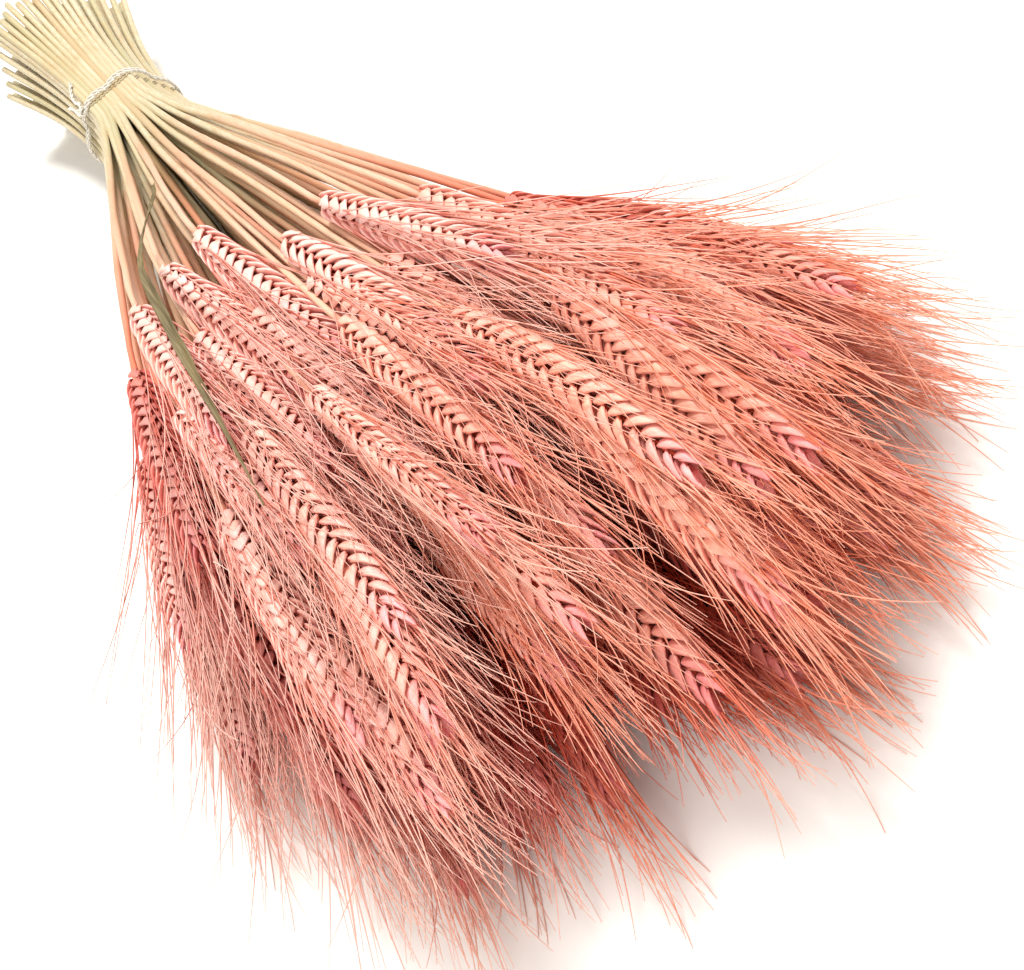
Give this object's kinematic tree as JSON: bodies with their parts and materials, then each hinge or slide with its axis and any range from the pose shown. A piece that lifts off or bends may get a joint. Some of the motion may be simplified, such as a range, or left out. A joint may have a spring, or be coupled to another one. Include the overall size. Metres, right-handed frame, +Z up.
{
  "type": "tied bundle of dried triticale",
  "caption": "Tied bundle of dyed, dried triticale lying on its side: straws drawn together under a twine, with long-awned ears fanned out at one end.",
  "frame": {"origin": "middle of the bundle's footprint, on the surface that it lies on", "axes": "+X from the cut ends to the awn tips, along the bundle; +Y across the fan; +Z up"},
  "size_m": [0.5706, 0.232, 0.0824],
  "materials": {
    "stalk": "matte",
    "twine": "matte",
    "dry_leaf": "matte"
  },
  "bodies": {
    "root": {"stalk_01": "stalk", "stalk_02": "stalk", "stalk_03": "stalk", "stalk_04": "stalk", "stalk_05": "stalk", "stalk_06": "stalk", "stalk_07": "stalk", "stalk_08": "stalk", "stalk_09": "stalk", "stalk_10": "stalk", "stalk_11": "stalk", "stalk_12": "stalk", "stalk_13": "stalk", "stalk_14": "stalk", "stalk_15": "stalk", "stalk_16": "stalk", "stalk_17": "stalk", "stalk_18": "stalk", "stalk_19": "stalk", "stalk_20": "stalk", "stalk_21": "stalk", "stalk_22": "stalk", "stalk_23": "stalk", "stalk_24": "stalk", "stalk_25": "stalk", "stalk_26": "stalk", "stalk_27": "stalk", "stalk_28": "stalk", "stalk_29": "stalk", "stalk_30": "stalk", "stalk_31": "stalk", "stalk_32": "stalk", "stalk_33": "stalk", "stalk_34": "stalk", "stalk_35": "stalk", "stalk_36": "stalk", "stalk_37": "stalk", "stalk_38": "stalk", "stalk_39": "stalk", "stalk_40": "stalk", "stalk_41": "stalk", "stalk_42": "stalk", "stalk_43": "stalk", "stalk_44": "stalk", "stalk_45": "stalk", "stalk_46": "stalk", "stalk_47": "stalk", "stalk_48": "stalk", "stalk_49": "stalk", "stalk_50": "stalk", "stalk_51": "stalk", "stalk_52": "stalk", "stalk_53": "stalk", "stalk_54": "stalk", "twine": "twine", "dry_leaf": "dry_leaf"}
  },
  "joints": []
}
